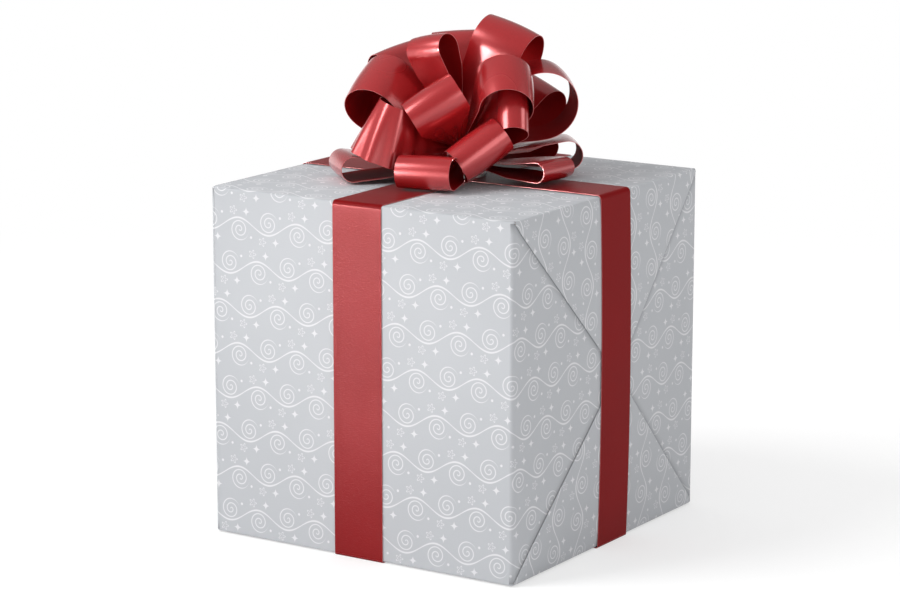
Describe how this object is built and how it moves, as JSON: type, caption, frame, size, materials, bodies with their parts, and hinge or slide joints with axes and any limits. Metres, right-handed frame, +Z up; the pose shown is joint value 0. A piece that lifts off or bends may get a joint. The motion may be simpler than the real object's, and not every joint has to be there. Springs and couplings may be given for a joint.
{
  "type": "gift box",
  "caption": "Wrapped cube gift box: paper over a carton, ribbon tied both ways with peel-up legs, unfolding end flaps and a lift-off looped bow.",
  "frame": {"origin": "middle of the footprint, on the surface that the box stands on", "axes": "+Z up, +X through the right-hand folded paper end, the front faces -Y"},
  "size_m": [0.2014, 0.2012, 0.2925],
  "materials": {
    "carton_board": "matte kraft board",
    "carton_tape": "glossy packing tape",
    "wrapping_paper": "satin printed paper",
    "clear_tape": "clear matt tape",
    "ribbon": "satin red ribbon with a fine grain",
    "bow_ribbon": "metallic satin red ribbon",
    "sticky_tab": "foam tape"
  },
  "bodies": {
    "wrapped_carton": {"carton_bottom_flap_back": "carton_board", "carton_bottom_flap_front": "carton_board", "carton_bottom_flap_left": "carton_board", "carton_bottom_flap_right": "carton_board", "carton_tape_bottom": "carton_tape", "carton_tape_top": "carton_tape", "carton_top_flap_back": "carton_board", "carton_top_flap_front": "carton_board", "carton_top_flap_left": "carton_board", "carton_top_flap_right": "carton_board", "carton_wall": "carton_board", "ribbon_tabs": "sticky_tab", "ribbon_tail_back": "ribbon", "ribbon_tail_front": "ribbon", "ribbon_tail_left": "ribbon", "ribbon_tail_right": "ribbon", "ribbon_top_crosswise": "ribbon", "ribbon_top_lengthwise": "ribbon", "wrap_seam_tape": "clear_tape", "wrap_sleeve": "wrapping_paper"},
    "bow": {"bow_knot": "ribbon", "bow_loop_arch": "bow_ribbon", "bow_loop_back_low_left": "bow_ribbon", "bow_loop_back_low_mid": "bow_ribbon", "bow_loop_back_low_right": "bow_ribbon", "bow_loop_back_mid": "bow_ribbon", "bow_loop_back_right": "bow_ribbon", "bow_loop_center": "bow_ribbon", "bow_loop_fan": "bow_ribbon", "bow_loop_far_right": "bow_ribbon", "bow_loop_front_low": "bow_ribbon", "bow_loop_front_right": "bow_ribbon", "bow_loop_left": "bow_ribbon", "bow_loop_left_low": "bow_ribbon", "bow_loop_right_low_back": "bow_ribbon", "bow_loop_right_low_front": "bow_ribbon", "bow_loop_right_mid": "bow_ribbon", "bow_loop_top_back": "bow_ribbon", "bow_loop_top_right": "bow_ribbon", "bow_loop_upper_left": "bow_ribbon", "bow_loop_upper_mid": "bow_ribbon", "bow_pad": "sticky_tab"},
    "right_ribbon_leg": {"ribbon_leg_right": "ribbon"},
    "left_ribbon_leg": {"ribbon_leg_left": "ribbon"},
    "front_ribbon_leg": {"ribbon_leg_front": "ribbon"},
    "back_ribbon_leg": {"ribbon_leg_back": "ribbon"},
    "right_top_flap": {"wrap_right_flap_top": "wrapping_paper", "wrap_tape_right": "clear_tape"},
    "right_bottom_flap": {"wrap_right_flap_bottom": "wrapping_paper"},
    "right_front_flap": {"wrap_right_flap_front": "wrapping_paper"},
    "right_back_flap": {"wrap_right_flap_back": "wrapping_paper"},
    "left_top_flap": {"wrap_left_flap_top": "wrapping_paper", "wrap_tape_left": "clear_tape"},
    "left_bottom_flap": {"wrap_left_flap_bottom": "wrapping_paper"},
    "left_front_flap": {"wrap_left_flap_front": "wrapping_paper"},
    "left_back_flap": {"wrap_left_flap_back": "wrapping_paper"}
  },
  "joints": [
    {"name": "bow_lift", "type": "slide", "parent": "wrapped_carton", "child": "bow", "axis": [0, 0, 1], "range_m": [0, 0.15]},
    {"name": "right_ribbon_peel", "type": "hinge", "parent": "wrapped_carton", "child": "right_ribbon_leg", "pos_m": [0.1004, 0.005, 0.20165], "axis": [0, -1, 0], "range_deg": [0, 110]},
    {"name": "left_ribbon_peel", "type": "hinge", "parent": "wrapped_carton", "child": "left_ribbon_leg", "pos_m": [-0.1004, 0.005, 0.20165], "axis": [0, 1, 0], "range_deg": [0, 110]},
    {"name": "front_ribbon_peel", "type": "hinge", "parent": "wrapped_carton", "child": "front_ribbon_leg", "pos_m": [-0.0005, -0.10025, 0.20135], "axis": [-1, 0, 0], "range_deg": [0, 110]},
    {"name": "back_ribbon_peel", "type": "hinge", "parent": "wrapped_carton", "child": "back_ribbon_leg", "pos_m": [-0.0005, 0.10025, 0.20135], "axis": [1, 0, 0], "range_deg": [0, 110]},
    {"name": "right_top_flap_fold", "type": "hinge", "parent": "wrapped_carton", "child": "right_top_flap", "pos_m": [0.09985, 0, 0.2008], "axis": [0, -1, 0], "range_deg": [0, 104.5]},
    {"name": "right_bottom_flap_fold", "type": "hinge", "parent": "wrapped_carton", "child": "right_bottom_flap", "pos_m": [0.09985, 0, 0.0008], "axis": [0, 1, 0], "range_deg": [0, 82.5]},
    {"name": "right_front_flap_fold", "type": "hinge", "parent": "wrapped_carton", "child": "right_front_flap", "pos_m": [0.09985, -0.1, 0.1008], "axis": [0, 0, -1], "range_deg": [0, 99]},
    {"name": "right_back_flap_fold", "type": "hinge", "parent": "wrapped_carton", "child": "right_back_flap", "pos_m": [0.09985, 0.1, 0.1008], "axis": [0, 0, 1], "range_deg": [0, 99]},
    {"name": "left_top_flap_fold", "type": "hinge", "parent": "wrapped_carton", "child": "left_top_flap", "pos_m": [-0.09985, 0, 0.2008], "axis": [0, 1, 0], "range_deg": [0, 104.5]},
    {"name": "left_bottom_flap_fold", "type": "hinge", "parent": "wrapped_carton", "child": "left_bottom_flap", "pos_m": [-0.09985, 0, 0.0008], "axis": [0, -1, 0], "range_deg": [0, 82.5]},
    {"name": "left_front_flap_fold", "type": "hinge", "parent": "wrapped_carton", "child": "left_front_flap", "pos_m": [-0.09985, -0.1, 0.1008], "axis": [0, 0, 1], "range_deg": [0, 99]},
    {"name": "left_back_flap_fold", "type": "hinge", "parent": "wrapped_carton", "child": "left_back_flap", "pos_m": [-0.09985, 0.1, 0.1008], "axis": [0, 0, -1], "range_deg": [0, 99]}
  ],
  "couplings": [
    {"joint": "right_top_flap_fold", "follows": "right_ribbon_peel", "ratio": 0.95},
    {"joint": "right_bottom_flap_fold", "follows": "right_ribbon_peel", "ratio": 0.75},
    {"joint": "right_front_flap_fold", "follows": "right_ribbon_peel", "ratio": 0.9},
    {"joint": "right_back_flap_fold", "follows": "right_ribbon_peel", "ratio": 0.9},
    {"joint": "left_top_flap_fold", "follows": "left_ribbon_peel", "ratio": 0.95},
    {"joint": "left_bottom_flap_fold", "follows": "left_ribbon_peel", "ratio": 0.75},
    {"joint": "left_front_flap_fold", "follows": "left_ribbon_peel", "ratio": 0.9},
    {"joint": "left_back_flap_fold", "follows": "left_ribbon_peel", "ratio": 0.9}
  ]
}
